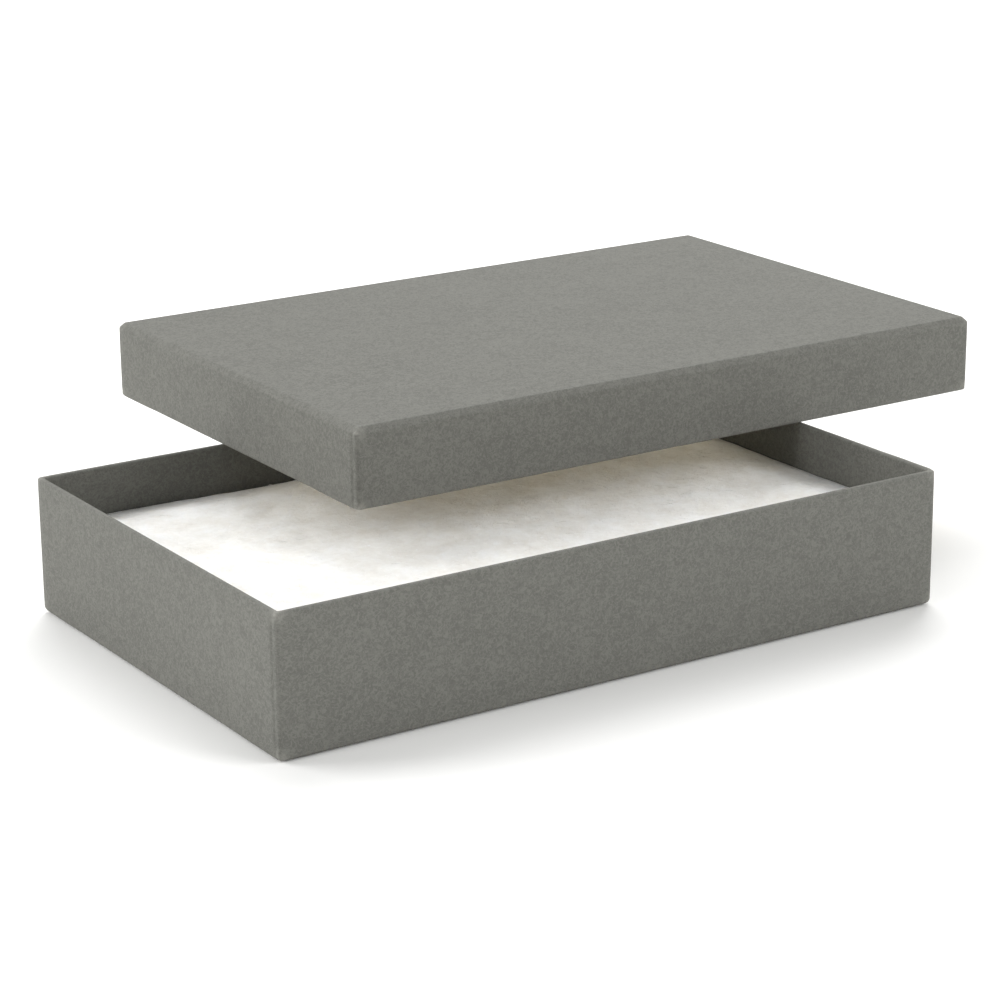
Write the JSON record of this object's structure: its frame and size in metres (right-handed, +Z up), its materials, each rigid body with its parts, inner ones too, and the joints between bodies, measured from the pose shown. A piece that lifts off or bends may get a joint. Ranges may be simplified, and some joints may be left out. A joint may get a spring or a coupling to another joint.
{
  "type": "archival box",
  "caption": "Shallow rectangular two-piece box of paper-covered greyboard, with a loose lift-off lid and a white fibre pad filling most of the tray.",
  "frame": {"origin": "centre of the tray's underside, on the surface that it stands on", "axes": "+X along the long side, +Y along the short side, away from the open front left corner, +Z up"},
  "size_m": [0.1792, 0.1316, 0.0412],
  "materials": {
    "cover_paper": "matte",
    "lining_paper": "matte",
    "greyboard": "matte",
    "corner_tape": "matte",
    "fibre": "matte"
  },
  "bodies": {
    "tray": {"tray_bottom_paper": "cover_paper", "tray_cover_paper": "cover_paper", "tray_board": "greyboard", "tray_tape_front_left": "corner_tape", "tray_tape_front_right": "corner_tape", "tray_tape_back_right": "corner_tape", "tray_tape_back_left": "corner_tape", "tray_floor_lining": "lining_paper"},
    "lid": {"lid_cover_paper": "cover_paper", "lid_board": "greyboard", "lid_tape_front_left": "corner_tape", "lid_tape_front_right": "corner_tape", "lid_tape_back_right": "corner_tape", "lid_tape_back_left": "corner_tape", "lid_top_lining": "lining_paper"},
    "pad": {"fibre_pad": "fibre"}
  },
  "joints": [
    {"name": "lid_lift", "type": "slide", "parent": "tray", "child": "lid", "axis": [0, 0, 1], "range_m": [0, 0.06]},
    {"name": "pad_lift", "type": "slide", "parent": "tray", "child": "pad", "axis": [0, 0, 1], "range_m": [0, 0.007]}
  ]
}
